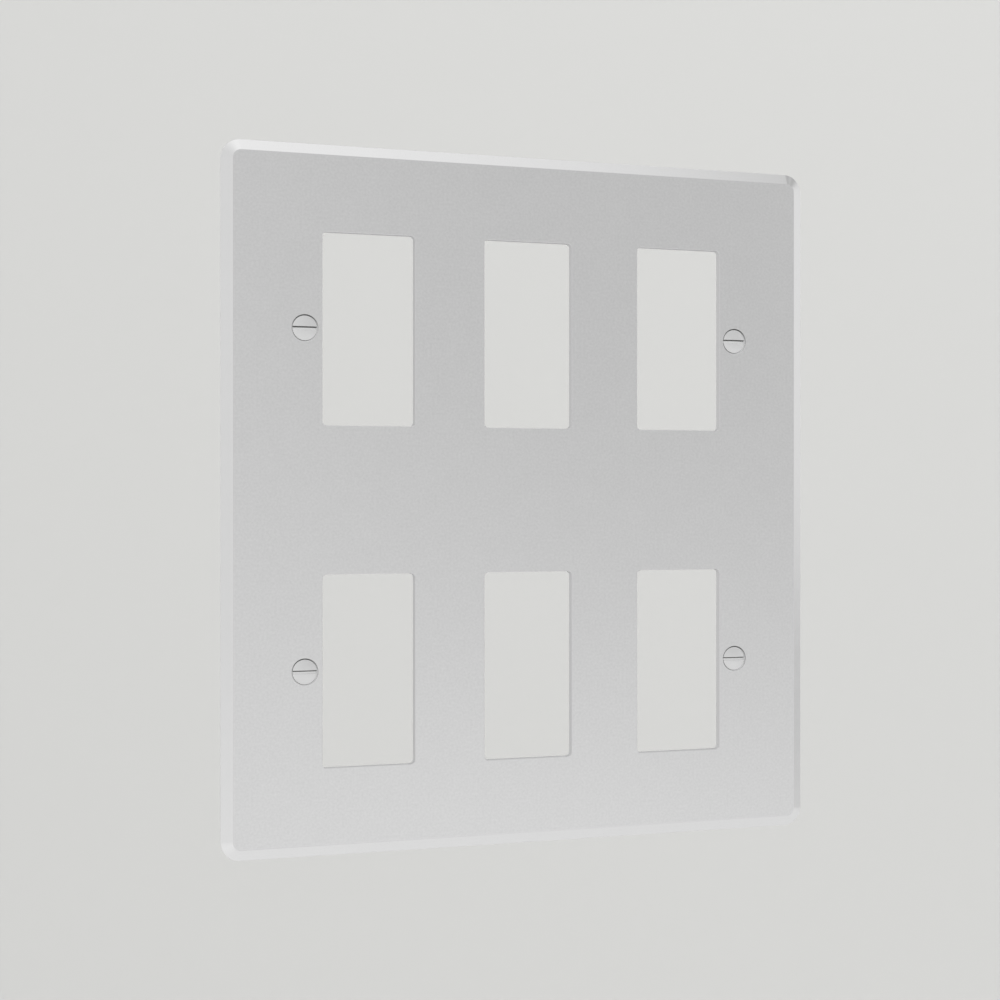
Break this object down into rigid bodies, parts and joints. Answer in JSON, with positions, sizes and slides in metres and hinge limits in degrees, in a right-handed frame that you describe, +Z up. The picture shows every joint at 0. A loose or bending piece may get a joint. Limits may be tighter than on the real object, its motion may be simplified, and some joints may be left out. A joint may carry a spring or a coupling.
{
  "type": "rocker switch plate",
  "caption": "Flat bevelled metal wall plate with upright windows for rocker switch modules in two rows, held by slotted countersunk screws beside each row.",
  "frame": {"origin": "middle of the flat back, where the plate lies on the wall", "axes": "+Z up, +X to the right seen from the room, -Y out of the wall towards the room"},
  "size_m": [0.163, 0.0083, 0.1816],
  "materials": {
    "plate_satin": "fine satin, neutral grey, with no directional brushing; the bevel is a little brighter",
    "screw_metal": "turned and lightly polished, the same neutral grey as the plate"
  },
  "bodies": {
    "root": {"cover_plate": "plate_satin", "fixing_screws": "screw_metal"}
  },
  "joints": []
}
